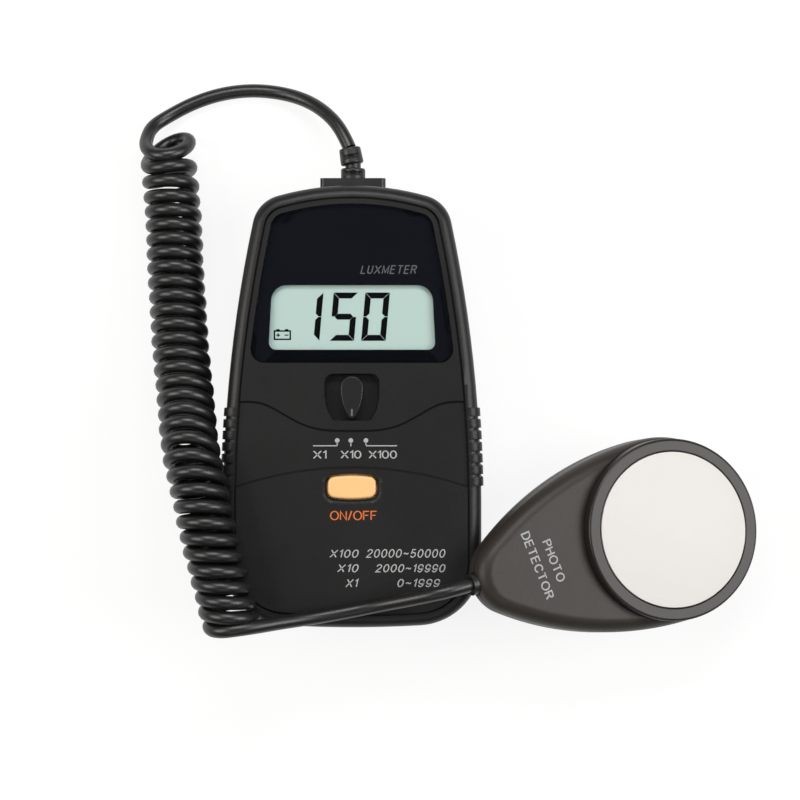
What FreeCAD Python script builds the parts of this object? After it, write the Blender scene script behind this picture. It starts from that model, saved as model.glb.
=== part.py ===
import FreeCAD, Part

# Handheld light meter: a display unit lying on its back, a curly lead, and the
# separate light detector that the lead feeds, leaning on the unit's right rim.
# Millimetres.  X is across the unit, Y runs up it towards the lead's boot and
# Z points out of its face.  The origin is the centre of the unit's flat back.

import math
import os
from FreeCAD import Vector, Placement, Rotation

# ---------------------------------------------------------------- driving dimensions
# The unit's case
HALF_WIDTH = 34.3
HALF_LENGTH = 58.6
CASE_HEIGHT = 29.0
PARTING_Z = 13.0
WALL = 2.2
REAR_FLOOR = 2.0
ROOF_UNDERSIDE = 26.2
RIM_RADIUS = 3.1
BACK_RADIUS = 4.0
BOTTOM_CORNER_RADIUS = 17.1
BOTTOM_CROWN_RADIUS = 317.0
TOP_CORNER_RADIUS = 9.2
TOP_CROWN_RADIUS = 72.9
SIDE_RADIUS = 367.0
SIDE_ARC_START_Y = -27.2

# The face inside the rim
VALLEY_INSET = 3.2
VALLEY_WIDTH = 0.5
VALLEY_Z = 27.6
FACE_Z = 28.8
SUNK_FACE_Z = 28.05
WAVE_LOW_Y = -6.8
WAVE_HIGH_Y = 0.9
ARCH_TOP_Y = -15.8
ARCH_RADIUS = 94.0
RAMP_WIDTH = 0.6

# The display window
WINDOW_INSET = 5.0
WINDOW_BOTTOM_Y = 11.5
WINDOW_CORNER = 3.6
WINDOW_FLOOR_Z = 27.2
MASK_THICKNESS = 0.2
LENS_TOP_Z = 28.9
DISPLAY_BOTTOM_Y = 15.0
DISPLAY_TOP_Y = 32.1
DISPLAY_HALF_WIDTH = 22.1

# The range knob, which points down the face at its middle position
KNOB_Y = 5.0
KNOB_HEAD_RADIUS = 3.1
KNOB_NOSE_RADIUS = 1.2
KNOB_SIDE_RADIUS = 14.0
KNOB_NOSE_DROP = 7.0
KNOB_TOP_Z = 30.0
RECESS_FLOOR_Z = 26.0
RECESS_FLARE = 0.4
SHAFT_RADIUS = 2.25
SHAFT_CLEARANCE = 0.05
ROTOR_RADIUS = 5.6

# The power button
BUTTON_Y = -21.3
BUTTON_HALF_WIDTH = 6.4
BUTTON_HALF_HEIGHT = 3.1
BUTTON_TOP_Z = 30.0
BUTTON_GAP = 0.4
DISH_WIDTH = 1.4
DISH_DEPTH = 0.6

# Finger pads on the sides
PAD_COUNT = 7
PAD_PITCH = 3.07
PAD_LENGTH = 2.25
FIRST_PAD_Y = -1.45
PAD_PROUD = 0.6
PAD_LOW_Z = 4.5

# Board, display and battery inside
BOARD_Z = 20.4
BOARD_THICKNESS = 1.6
BOARD_TOP = BOARD_Z + BOARD_THICKNESS
BATTERY_WIDTH = 26.5
BATTERY_BODY_LENGTH = 46.4
BATTERY_THICKNESS = 17.5
BATTERY_LOW = (-BATTERY_WIDTH / 2, -54.5, 2.1)

# The battery cover slides off the lower end of the back
COVER_HALF_WIDTH = 16.5
COVER_TOP_Y = -3.6
COVER_THICKNESS = 1.6
COVER_GAP = 0.2

# The lead
CORD_DIAMETER = 3.6
COIL_RADIUS = 7.6
BOOT_Z = 13.0

# The light detector, drawn flat and then laid against the unit
HEAD_END_RADIUS = 25.0
HEAD_SIDE_RADIUS = 86.0
HEAD_TIP_RADIUS = 11.0
HEAD_HEIGHT = 16.0
HEAD_PARTING = 6.5
HEAD_WEDGE = 6.0
HEAD_EDGE_RADIUS = 4.5
HEAD_TOP_RADIUS = 4.0
HEAD_WALL = 2.0
RING_OUTER_RADIUS = 24.2
RING_INNER_RADIUS = 20.75
RING_TOP = 19.5
RING_SEAT = 13.2
DIFFUSER_RADIUS = 20.6
DIFFUSER_TOP = 20.5
HEAD_CORD_HEIGHT = 5.5
HEAD_TILT = 23.5
HEAD_HEADING = 14.4
HEAD_ORIGIN = (78.4, -34.4, 8.6)

pieces = {}


# ---------------------------------------------------------------- building blocks
def box(low, high):
    """A block between two opposite corners."""
    size = [b - a for a, b in zip(low, high)]
    return Part.makeBox(size[0], size[1], size[2], Vector(*low))


def post(x, y, low_z, high_z, radius):
    """An upright round bar."""
    return Part.makeCylinder(radius, high_z - low_z, Vector(x, y, low_z), Vector(0, 0, 1))


def prism(wire, low_z, high_z):
    """A flat outline drawn at Z = 0, pulled up between two heights."""
    face = Part.Face(wire)
    face.translate(Vector(0, 0, low_z))
    return face.extrude(Vector(0, 0, high_z - low_z))


def join(shapes):
    """One shape from several that touch or overlap."""
    result = shapes[0]
    for shape in shapes[1:]:
        result = result.fuse(shape)
    return result.removeSplitter()


def group(shapes):
    """Separate solids kept together, such as a set of screws."""
    return Part.makeCompound(shapes)


def edges_at_height(shape, z):
    """The edges that lie wholly in one level plane."""
    return [e for e in shape.Edges if abs(e.BoundBox.ZMin - z) < 1e-4 and abs(e.BoundBox.ZMax - z) < 1e-4]


def upright_edges(shape, where):
    """The straight upright edges whose X and Y pass a test."""
    chosen = []
    for edge in shape.Edges:
        bounds = edge.BoundBox
        is_upright = bounds.XLength < 1e-4 and bounds.YLength < 1e-4
        if is_upright and where(edge.Vertexes[0].X, edge.Vertexes[0].Y):
            chosen.append(edge)
    return chosen


def arc_about(centre, start, end):
    """The short arc from start to end about a centre in the XY plane."""
    radius = (start - centre).Length
    middle = centre + ((start - centre) + (end - centre)).normalize() * radius
    return Part.Arc(start, middle, end).toShape()


def line(start, end):
    return Part.LineSegment(start, end).toShape()


def mirrored(point):
    return Vector(-point.x, point.y, point.z)


def circle_crossing(centre_a, radius_a, centre_b, radius_b):
    """The crossing of two circles that lies to the right of the line from a to b."""
    along = centre_b - centre_a
    distance = along.Length
    along.normalize()
    reach = (radius_a ** 2 - radius_b ** 2 + distance ** 2) / (2 * distance)
    height = math.sqrt(radius_a ** 2 - reach ** 2)
    right = Vector(along.y, -along.x, 0)
    return centre_a + along * reach + right * height


def edge_chain(points, tangent_share=0.45):
    """Straight runs with an arc at each bend that uses tangent_share of the shorter run."""
    vectors = [Vector(*p) for p in points]
    edges = []
    radii = []
    start = vectors[0]
    for before, corner, after in zip(vectors, vectors[1:], vectors[2:]):
        into = (corner - before)
        out_of = (after - corner)
        tangent = tangent_share * min(into.Length, out_of.Length)
        into.normalize()
        out_of.normalize()
        half_turn = into.getAngle(out_of) / 2
        radius = tangent / math.tan(half_turn)
        radii.append(radius)
        first = corner - into * tangent
        last = corner + out_of * tangent
        inward = (out_of - into).normalize()
        middle = corner + inward * (math.hypot(radius, tangent) - radius)
        edges.append(line(start, first))
        edges.append(Part.Arc(first, middle, last).toShape())
        start = last
    edges.append(line(start, vectors[-1]))
    return edges, radii


def tube(points, radius, name=""):
    """A round bar along a route of hand-chosen points."""
    edges, radii = edge_chain(points)
    path = Part.Wire(edges)
    direction = Vector(*points[1]) - Vector(*points[0])
    section = Part.Wire([Part.Circle(Vector(*points[0]), direction, radius).toShape()])
    solid = path.makePipeShell([section], True, False)
    if name:
        expected = math.pi * radius ** 2 * path.Length
        print("%s: length %.1f, volume share %.3f, tightest radius %.1f"
              % (name, path.Length, solid.Volume / expected, min(radii)))
    return solid


# ---------------------------------------------------------------- the case outline
def case_outline(inset):
    """The unit's outline, drawn in by an inset: each arc keeps its centre."""
    bottom_centre = Vector(0, BOTTOM_CROWN_RADIUS - HALF_LENGTH, 0)
    top_centre = Vector(0, HALF_LENGTH - TOP_CROWN_RADIUS, 0)
    side_centre = Vector(HALF_WIDTH - SIDE_RADIUS, SIDE_ARC_START_Y, 0)
    corner_x = HALF_WIDTH - BOTTOM_CORNER_RADIUS
    corner_reach = BOTTOM_CROWN_RADIUS - BOTTOM_CORNER_RADIUS
    corner_y = bottom_centre.y - math.sqrt(corner_reach ** 2 - corner_x ** 2)
    low_corner = Vector(corner_x, corner_y, 0)
    high_corner = circle_crossing(top_centre, TOP_CROWN_RADIUS - TOP_CORNER_RADIUS,
                                  side_centre, SIDE_RADIUS - TOP_CORNER_RADIUS)

    def beyond(centre, radius, towards):
        return centre + (towards - centre).normalize() * (radius - inset)

    low_join = beyond(bottom_centre, BOTTOM_CROWN_RADIUS, low_corner)
    low_side = Vector(HALF_WIDTH - inset, corner_y, 0)
    side_start = Vector(HALF_WIDTH - inset, SIDE_ARC_START_Y, 0)
    side_end = beyond(side_centre, SIDE_RADIUS, high_corner)
    high_join = beyond(top_centre, TOP_CROWN_RADIUS, high_corner)
    edges = [arc_about(bottom_centre, mirrored(low_join), low_join),
             arc_about(low_corner, low_join, low_side),
             line(low_side, side_start),
             arc_about(side_centre, side_start, side_end),
             arc_about(high_corner, side_end, high_join),
             arc_about(top_centre, high_join, mirrored(high_join)),
             arc_about(mirrored(high_corner), mirrored(high_join), mirrored(side_end)),
             arc_about(mirrored(side_centre), mirrored(side_end), mirrored(side_start)),
             line(mirrored(side_start), mirrored(low_side)),
             arc_about(mirrored(low_corner), mirrored(low_side), mirrored(low_join))]
    return Part.Wire(edges)


def case_block(inset, low_z, high_z):
    return prism(case_outline(inset), low_z, high_z)


def finger_pads():
    """Raised pads that wrap each side from low on the back shell up over the rim."""
    skin = case_block(-PAD_PROUD, PAD_LOW_Z, CASE_HEIGHT + 0.15)
    skin = skin.makeFillet(RIM_RADIUS, edges_at_height(skin, CASE_HEIGHT + 0.15))
    skin = skin.cut(case_block(VALLEY_INSET - 0.1, 0, CASE_HEIGHT + 1))
    slabs = []
    for i in range(PAD_COUNT):
        middle = FIRST_PAD_Y - i * PAD_PITCH
        slabs.append(box((-40, middle - PAD_LENGTH / 2, 0), (40, middle + PAD_LENGTH / 2, 40)))
    return skin.common(group(slabs))


def band_wire(grow, z):
    """The outline of the face's sunk band at one height, wider by grow at the wave and the arch."""
    shoulder_y = WAVE_HIGH_Y - 0.3
    wave_points = [(-36, WAVE_HIGH_Y), (-29, WAVE_HIGH_Y), (-24.4, shoulder_y), (-18.2, -2.3), (-11.6, -5.6),
                   (0, WAVE_LOW_Y), (11.6, -5.6), (18.2, -2.3), (24.4, shoulder_y), (29, WAVE_HIGH_Y),
                   (36, WAVE_HIGH_Y)]
    wave = Part.BSplineCurve()
    wave.interpolate([Vector(x, y + grow, z) for x, y in wave_points])
    arch_centre = Vector(0, ARCH_TOP_Y - ARCH_RADIUS - grow, z)
    arch_end_y = arch_centre.y + math.sqrt(ARCH_RADIUS ** 2 - 36 ** 2)
    right_low = Vector(36, arch_end_y, z)
    left_low = Vector(-36, arch_end_y, z)
    return Part.Wire([wave.toShape(),
                      line(Vector(36, WAVE_HIGH_Y + grow, z), right_low),
                      arc_about(arch_centre, right_low, left_low),
                      line(left_low, Vector(-36, WAVE_HIGH_Y + grow, z))])


def sunk_face():
    """The band of face between the wave under the knob and the arch over the button, with sloping ends."""
    slopes = Part.makeLoft([band_wire(0, SUNK_FACE_Z), band_wire(RAMP_WIDTH, FACE_Z)], True, True)
    return slopes.fuse(prism(band_wire(RAMP_WIDTH, 0), FACE_Z, CASE_HEIGHT + 1))


def window_block(inset, low_z, high_z, corner):
    """The window's outline: the case's own curve cut off straight along its lower edge."""
    inner = case_block(inset, low_z, high_z)
    low_y = WINDOW_BOTTOM_Y + (inset - WINDOW_INSET)
    block = inner.common(box((-40, low_y, 0), (40, 70, 40)))
    return block.makeFillet(corner, upright_edges(block, lambda x, y: abs(y - low_y) < 1e-3))


def display_opening(low_z, high_z, margin=0.0):
    """The display's opening: slightly narrower at the top, where its corners are rounder."""
    wide = DISPLAY_HALF_WIDTH + margin
    narrow = wide - 0.9
    low_y = DISPLAY_BOTTOM_Y - margin
    high_y = DISPLAY_TOP_Y + margin
    corners = [Vector(-wide, low_y, 0), Vector(wide, low_y, 0), Vector(narrow, high_y, 0),
               Vector(-narrow, high_y, 0), Vector(-wide, low_y, 0)]
    block = prism(Part.makePolygon(corners), low_z, high_z)
    block = block.makeFillet(1.9, upright_edges(block, lambda x, y: abs(y - low_y) < 1e-3))
    return block.makeFillet(4.2, upright_edges(block, lambda x, y: abs(y - high_y) < 1e-3))


def knob_recess(low_z, high_z, grow=0.0):
    """The pocket that the knob turns in, wide beside its head and narrow at its nose."""
    right = [Vector(6.9 + grow, 8.3 + grow, 0), Vector(6.9 + grow, 2.6, 0),
             Vector(6.2 + grow, -0.8, 0), Vector(4.6 + grow, -3.4 - grow, 0)]
    left = [mirrored(p) for p in reversed(right)]
    corners = right + left
    block = prism(Part.makePolygon(corners + corners[:1]), low_z, high_z)
    block = block.makeFillet(2.3, upright_edges(block, lambda x, y: y > 8))
    block = block.makeFillet(2.4, upright_edges(block, lambda x, y: abs(y + 0.8) < 0.1))
    return block.makeFillet(0.9, upright_edges(block, lambda x, y: abs(y + 3.4 + grow) < 0.1))


def teardrop(low_z, high_z):
    """The knob's plan: a round head and a small round nose joined by bowed sides."""
    head_centre = Vector(0, KNOB_Y, 0)
    nose_centre = Vector(0, KNOB_Y - KNOB_NOSE_DROP, 0)
    bow_centre = circle_crossing(head_centre, KNOB_SIDE_RADIUS - KNOB_HEAD_RADIUS,
                                 nose_centre, KNOB_SIDE_RADIUS - KNOB_NOSE_RADIUS)
    bow_centre.x = -abs(bow_centre.x)
    head = bow_centre + (head_centre - bow_centre).normalize() * KNOB_SIDE_RADIUS
    nose = bow_centre + (nose_centre - bow_centre).normalize() * KNOB_SIDE_RADIUS
    wire = Part.Wire([
        Part.Arc(head, Vector(0, KNOB_Y + KNOB_HEAD_RADIUS, 0), mirrored(head)).toShape(),
        arc_about(mirrored(bow_centre), mirrored(head), mirrored(nose)),
        Part.Arc(mirrored(nose), nose_centre - Vector(0, KNOB_NOSE_RADIUS, 0), nose).toShape(),
        arc_about(bow_centre, nose, head)])
    return prism(wire, low_z, high_z)


def pillow(grow, low_z, high_z):
    """The button's plan: a rounded oblong with slightly bowed sides."""
    half_width = BUTTON_HALF_WIDTH + grow
    half_height = BUTTON_HALF_HEIGHT + grow
    corner = Vector(half_width - 0.35, half_height - 0.55, 0)
    corners = [Vector(corner.x, BUTTON_Y + corner.y, 0), Vector(-corner.x, BUTTON_Y + corner.y, 0),
               Vector(-corner.x, BUTTON_Y - corner.y, 0), Vector(corner.x, BUTTON_Y - corner.y, 0)]
    middles = [Vector(0, BUTTON_Y + half_height, 0), Vector(-half_width, BUTTON_Y, 0),
               Vector(0, BUTTON_Y - half_height, 0), Vector(half_width, BUTTON_Y, 0)]
    edges = []
    for i in range(4):
        edges.append(Part.Arc(corners[i], middles[i], corners[(i + 1) % 4]).toShape())
    block = prism(Part.Wire(edges), low_z, high_z)
    return block.makeFillet(1.8 + grow, upright_edges(block, lambda x, y: True))


CASE_SCREW_PLACES = [(-20.2, 45.6), (20.2, 45.6), (-27.4, -43.2), (27.4, -43.2)]
BOARD_SCREW_PLACES = [(-22.3, 38.8), (22.3, 38.8), (-26.0, -31.0), (26.0, -31.0)]


def boot_hole():
    return Part.makeCylinder(3.5, 8, Vector(0, HALF_LENGTH - 6, BOOT_Z), Vector(0, 1, 0))


def make_front_case():
    shell = case_block(0, PARTING_Z, CASE_HEIGHT)
    shell = shell.makeFillet(RIM_RADIUS, edges_at_height(shell, CASE_HEIGHT))
    valley = case_block(VALLEY_INSET, VALLEY_Z, CASE_HEIGHT + 1)
    valley = valley.cut(case_block(VALLEY_INSET + VALLEY_WIDTH, VALLEY_Z - 1, CASE_HEIGHT + 2))
    inside_valley = case_block(VALLEY_INSET + VALLEY_WIDTH / 2, FACE_Z, CASE_HEIGHT + 1)
    sunk_band = sunk_face().common(case_block(VALLEY_INSET + VALLEY_WIDTH / 2, 0, 40))
    shell = shell.cut(inside_valley).cut(valley).cut(sunk_band)
    shell = shell.cut(case_block(WALL, PARTING_Z - 1, ROOF_UNDERSIDE))

    # Around the window, knob and button
    shell = shell.cut(window_block(WINDOW_INSET, WINDOW_FLOOR_Z, CASE_HEIGHT + 1, WINDOW_CORNER))
    shell = shell.cut(display_opening(ROOF_UNDERSIDE - 1, CASE_HEIGHT, margin=0.8))
    knob_bed = box((-9.4, -5.4, 24.4), (9.4, 10.3, ROOF_UNDERSIDE + 0.5))
    shell = shell.fuse(knob_bed)
    shell = shell.cut(knob_recess(RECESS_FLOOR_Z, CASE_HEIGHT + 1))
    flare_low = Part.Wire(edges_at_height(knob_recess(0, 1), 0))
    flare_low.translate(Vector(0, 0, FACE_Z - 2 * RECESS_FLARE))
    flare_high = Part.Wire(edges_at_height(knob_recess(0, 1, RECESS_FLARE), 0))
    flare_high.translate(Vector(0, 0, FACE_Z + 0.02))
    shell = shell.cut(Part.makeLoft([flare_low, flare_high], True, True))
    shell = shell.cut(post(0, KNOB_Y, 20, 30, SHAFT_RADIUS + SHAFT_CLEARANCE))
    dish_low = Part.Wire(edges_at_height(pillow(BUTTON_GAP, 0, 1), 0))
    dish_low.translate(Vector(0, 0, FACE_Z - DISH_DEPTH))
    dish_high = Part.Wire(edges_at_height(pillow(BUTTON_GAP + DISH_WIDTH, 0, 1), 0))
    dish_high.translate(Vector(0, 0, FACE_Z + 0.02))
    shell = shell.cut(Part.makeLoft([dish_low, dish_high], True, True))
    shell = shell.cut(pillow(BUTTON_GAP, 20, 40))

    # Screw bosses, the tongue that locates the back shell, and the boot's half hole
    additions = [finger_pads().common(box((-45, -70, PARTING_Z), (45, 70, 40)))]
    for x, y in CASE_SCREW_PLACES:
        additions.append(post(x, y, PARTING_Z, ROOF_UNDERSIDE + 0.3, 3.0))
    for x, y in BOARD_SCREW_PLACES:
        additions.append(post(x, y, BOARD_TOP, ROOF_UNDERSIDE + 0.3, 2.0))
    tongue = case_block(1.3, PARTING_Z - 0.9, PARTING_Z + 0.5)
    additions.append(tongue.cut(case_block(WALL, 0, 40)))
    for addition in additions:
        shell = shell.fuse(addition)
    for x, y in CASE_SCREW_PLACES:
        shell = shell.cut(post(x, y, PARTING_Z - 1, 21.5, 1.45))
    for x, y in BOARD_SCREW_PLACES:
        shell = shell.cut(post(x, y, BOARD_TOP - 1, 25.6, 1.0))
    return shell.cut(boot_hole()).removeSplitter()


def cover_recess():
    """The space that the battery cover slides in, with a groove each side for its rails."""
    wide = COVER_HALF_WIDTH + COVER_GAP
    recess = box((-wide, -70, -1), (wide, COVER_TOP_Y + COVER_GAP, COVER_THICKNESS + COVER_GAP))
    groove = box((-wide - 1.1, -70, 0.6), (wide + 1.1, COVER_TOP_Y - 4, COVER_THICKNESS + COVER_GAP))
    foam_way = box((-12.6, -70, 0), (12.6, -50, 2.3))
    return join([recess, groove, foam_way])


def make_rear_case():
    shell = case_block(0, 0, PARTING_Z)
    shell = shell.makeFillet(BACK_RADIUS, edges_at_height(shell, 0))
    shell = shell.cut(case_block(WALL, REAR_FLOOR, PARTING_Z + 1))
    frame = box((-19.5, -59, REAR_FLOOR - 0.5), (19.5, 0.5, 3.6)).common(case_block(1.5, 0, 20))
    walls = box((-16.0, -57.6, 3), (16.0, -0.6, 11.5)).cut(box((-14.4, -56.0, 2), (14.4, -2.2, 12)))
    additions = [frame, walls, finger_pads().common(box((-45, -70, 0), (45, 70, PARTING_Z)))]
    for x, y in CASE_SCREW_PLACES:
        additions.append(post(x, y, 1, PARTING_Z, 4.2).common(case_block(1.0, 0, 20)))
    for addition in additions:
        shell = shell.fuse(addition)
    tongue_groove = case_block(1.2, PARTING_Z - 1.0, PARTING_Z + 1)
    shell = shell.cut(tongue_groove.cut(case_block(WALL + 0.1, 0, 40)))
    shell = shell.cut(box((-14.2, -55.8, -1), (14.2, -5.2, 6)))
    shell = shell.cut(cover_recess())
    shell = shell.cut(box((-4, -3, 4), (4, 0, 12)))
    for x, y in CASE_SCREW_PLACES:
        shell = shell.cut(post(x, y, -1, 7.0, 2.9))
        shell = shell.cut(post(x, y, 5, PARTING_Z + 1, 1.7))
    return shell.cut(boot_hole()).removeSplitter()


def make_battery_cover():
    cover = case_block(0, 0, PARTING_Z)
    cover = cover.makeFillet(BACK_RADIUS, edges_at_height(cover, 0))
    cover = cover.common(box((-COVER_HALF_WIDTH, -70, 0), (COVER_HALF_WIDTH, COVER_TOP_Y, COVER_THICKNESS)))
    rails = box((-17.4, -50, 0.85), (17.4, -9, 1.45))
    cover = cover.fuse(rails)
    for i in range(5):
        y = -16 - i * 2.2
        cover = cover.cut(box((-7, y, -1), (7, y + 1.0, 0.45)))
    arrow = Part.makePolygon([Vector(-3.2, -30, 0), Vector(3.2, -30, 0), Vector(0, -34.5, 0), Vector(-3.2, -30, 0)])
    return cover.cut(prism(arrow, -1, 0.4)).removeSplitter()


def cross_head_screw(x, y, seat_z, head_radius, head_height, shank_radius, shank_top):
    """A cross-head screw driven upwards, with its head below seat_z."""
    head = post(x, y, seat_z - head_height, seat_z, head_radius)
    head = head.makeChamfer(0.3, edges_at_height(head, seat_z - head_height))
    slot_low = seat_z - head_height - 1
    slot_high = seat_z - head_height * 0.45
    long_side = head_radius * 0.62
    short_side = head_radius * 0.15
    head = head.cut(box((x - long_side, y - short_side, slot_low), (x + long_side, y + short_side, slot_high)))
    head = head.cut(box((x - short_side, y - long_side, slot_low), (x + short_side, y + long_side, slot_high)))
    return head.fuse(post(x, y, seat_z, shank_top, shank_radius)).removeSplitter()


# ---------------------------------------------------------------- the unit's case and display
pieces["front_case"] = make_front_case()
pieces["rear_case"] = make_rear_case()
pieces["battery_cover"] = make_battery_cover()
pieces["cover_foam"] = box((-12, -50, COVER_THICKNESS), (12, -12, 2.0))
pieces["case_screws"] = group([cross_head_screw(x, y, 7.0, 2.6, 2.0, 1.4, 20.5) for x, y in CASE_SCREW_PLACES])
window_low = WINDOW_FLOOR_Z + MASK_THICKNESS
lens = window_block(WINDOW_INSET + 0.1, window_low, LENS_TOP_Z, WINDOW_CORNER - 0.1)
pieces["window"] = lens.makeFillet(0.35, edges_at_height(lens, LENS_TOP_Z))
mask = window_block(WINDOW_INSET + 0.1, WINDOW_FLOOR_Z, window_low, WINDOW_CORNER - 0.1)
pieces["window_mask"] = mask.cut(display_opening(20, 40))
pieces["lcd_glass"] = box((-24.5, 12.6, 24.0), (24.5, 34.6, 26.1))
lcd_frame = box((-26.0, 11.0, BOARD_TOP), (26.0, 36.2, 26.1))
pieces["lcd_frame"] = lcd_frame.cut(box((-24.6, 12.5, 20), (24.6, 34.7, 30)))
pieces["contact_strips"] = group([box((-23, y, BOARD_TOP), (23, y + 1.6, 24.0)) for y in (12.9, 32.7)])

# ---------------------------------------------------------------- the board and what it carries
board = case_block(3.4, BOARD_Z, BOARD_TOP).common(box((-40, -36, 0), (40, 41.0, 40)))
for x, y in BOARD_SCREW_PLACES:
    board = board.cut(post(x, y, BOARD_Z - 1, BOARD_TOP + 1, 1.2))
pieces["main_board"] = board
pieces["board_screws"] = group([cross_head_screw(x, y, BOARD_Z, 1.9, 1.4, 0.95, 25.0) for x, y in BOARD_SCREW_PLACES])

CHIP_X = -16.0
CHIP_Y = -12.0
chip_parts = [box((CHIP_X - 5, CHIP_Y - 5, BOARD_TOP + 0.15), (CHIP_X + 5, CHIP_Y + 5, BOARD_TOP + 1.7))]
for i in range(11):
    step = (i - 5) * 0.8
    for side in (-1, 1):
        edge = side * 5
        foot = side * 6.2
        low, high = sorted((edge, foot))
        chip_parts.append(box((CHIP_X + step - 0.15, CHIP_Y + low, BOARD_TOP),
                              (CHIP_X + step + 0.15, CHIP_Y + high, BOARD_TOP + 0.5)))
        chip_parts.append(box((CHIP_X + low, CHIP_Y + step - 0.15, BOARD_TOP),
                              (CHIP_X + high, CHIP_Y + step + 0.15, BOARD_TOP + 0.5)))
pieces["converter_chip"] = group(chip_parts)


def resistor(x, y):
    """A small axial resistor lying on the board, with its bent leads."""
    body_z = BOARD_TOP + 1.1
    body = Part.makeCylinder(0.85, 3.6, Vector(x - 1.8, y, body_z), Vector(1, 0, 0))
    lead = Part.makeCylinder(0.25, 6.0, Vector(x - 3.0, y, body_z), Vector(1, 0, 0))
    legs = [post(x - 2.9, y, BOARD_TOP, body_z + 0.1, 0.25), post(x + 2.9, y, BOARD_TOP, body_z + 0.1, 0.25)]
    return join([body, lead] + legs)


pieces["resistors"] = group([resistor(15.5, -17.0 - 2.6 * i) for i in range(5)])
ceramic_caps = [box((x - 1.6, -30.5, BOARD_TOP), (x + 1.6, -28.9, BOARD_TOP + 2.8)) for x in (-20, -14, -8)]
can_cap = Part.makeCylinder(2.6, 7.5, Vector(-8, 24, BOARD_Z - 2.7), Vector(1, 0, 0))
pieces["capacitors"] = group(ceramic_caps + [can_cap])
trimmer_body = box((14.2, -11.3, BOARD_TOP), (20.8, -4.7, 24.4))
pieces["trimmer_body"] = trimmer_body.cut(post(17.5, -8, 23.4, 25, 1.80))
trimmer_rotor = post(17.5, -8, 23.5, 24.8, 1.75)
pieces["trimmer_rotor"] = trimmer_rotor.cut(box((16.1, -8.25, 24.3), (18.9, -7.75, 25)))

# ---------------------------------------------------------------- range switch
knob = teardrop(RECESS_FLOOR_Z + 0.3, KNOB_TOP_Z)
knob = knob.makeFillet(0.55, edges_at_height(knob, KNOB_TOP_Z))
knob = knob.fuse(post(0, KNOB_Y, 24.1, RECESS_FLOOR_Z + 0.4, SHAFT_RADIUS))
pieces["range_knob"] = knob.removeSplitter()
rotor = post(0, KNOB_Y, 22.7, 24.1, ROTOR_RADIUS)
for degrees in (-105, -90, -75):
    notch_x = ROTOR_RADIUS * math.cos(math.radians(degrees))
    notch_y = KNOB_Y + ROTOR_RADIUS * math.sin(math.radians(degrees))
    rotor = rotor.cut(post(notch_x, notch_y, 22, 25, 0.5))
pieces["switch_rotor"] = rotor
wipers = []
for radius in (2.4, 3.7, 5.0):
    ring = post(0, KNOB_Y, 22.3, 22.7, radius + 0.4).cut(post(0, KNOB_Y, 22, 23, radius - 0.4))
    wipers.append(ring.common(box((-1.6, KNOB_Y, 22), (1.6, KNOB_Y + 8, 23))))
pieces["wiper_contacts"] = group(wipers)
leaf = box((-4.6, -1.1, 22.8), (4.6, -0.8, 24.0))
leaf_feet = [box((x, -2.3, BOARD_TOP), (x + 1.2, -0.8, 24.0)) for x in (-5.8, 4.6)]
pieces["detent_leaf"] = join([leaf] + leaf_feet)

# ---------------------------------------------------------------- power button
cap = pillow(0, 24.9, BUTTON_TOP_Z)
cap = cap.makeFillet(0.7, edges_at_height(cap, BUTTON_TOP_Z))
pieces["power_button"] = cap.fuse(pillow(1.0, 24.9, 25.8)).removeSplitter()
pieces["switch_plunger"] = post(0, BUTTON_Y, 23.7, 24.9, 1.5)
switch_body = box((-3.75, BUTTON_Y - 3.75, BOARD_TOP), (3.75, BUTTON_Y + 3.75, 23.5))
pieces["power_switch"] = switch_body.cut(post(0, BUTTON_Y, 22.3, 24, 1.8))
dome_outer = Part.makeCone(3.4, 2.7, 1.4, Vector(0, BUTTON_Y, 23.5), Vector(0, 0, 1))
dome_inner = Part.makeCone(2.9, 2.2, 1.4, Vector(0, BUTTON_Y, 23.5), Vector(0, 0, 1))
pieces["return_dome"] = dome_outer.cut(dome_inner)

# ---------------------------------------------------------------- battery and its lead
battery_high = (BATTERY_WIDTH / 2, BATTERY_LOW[1] + BATTERY_BODY_LENGTH, BATTERY_LOW[2] + BATTERY_THICKNESS)
cell = box(BATTERY_LOW, battery_high)
lengthways = [e for e in cell.Edges if e.BoundBox.YLength > 40]
pieces["battery_9v"] = cell.makeFillet(2.0, lengthways)
stud_y = battery_high[1]
middle_z = BATTERY_LOW[2] + BATTERY_THICKNESS / 2
studs = []
for x, radius in ((-6.35, 2.9), (6.35, 3.6)):
    studs.append(Part.makeCylinder(radius, 2.1, Vector(x, stud_y, middle_z), Vector(0, 1, 0)))
pieces["battery_terminals"] = group(studs)
snap = box((-12.6, stud_y + 0.1, middle_z - 6), (12.6, stud_y + 4.6, middle_z + 6))
for x in (-6.35, 6.35):
    snap = snap.cut(Part.makeCylinder(3.8, 2.4, Vector(x, stud_y, middle_z), Vector(0, 1, 0)))
pieces["battery_snap"] = snap
lead_y = stud_y + 4.6
pieces["battery_lead_red"] = tube([(3, lead_y, 8), (3, 4, 8.5), (6, 9, 13), (9, 10, BOARD_Z - 0.3)], 0.7)
pieces["battery_lead_black"] = tube([(-3, lead_y, 8), (-3, 4.5, 8), (-6.5, 9.5, 12.5), (-9, 10, BOARD_Z - 0.3)], 0.7)

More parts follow.
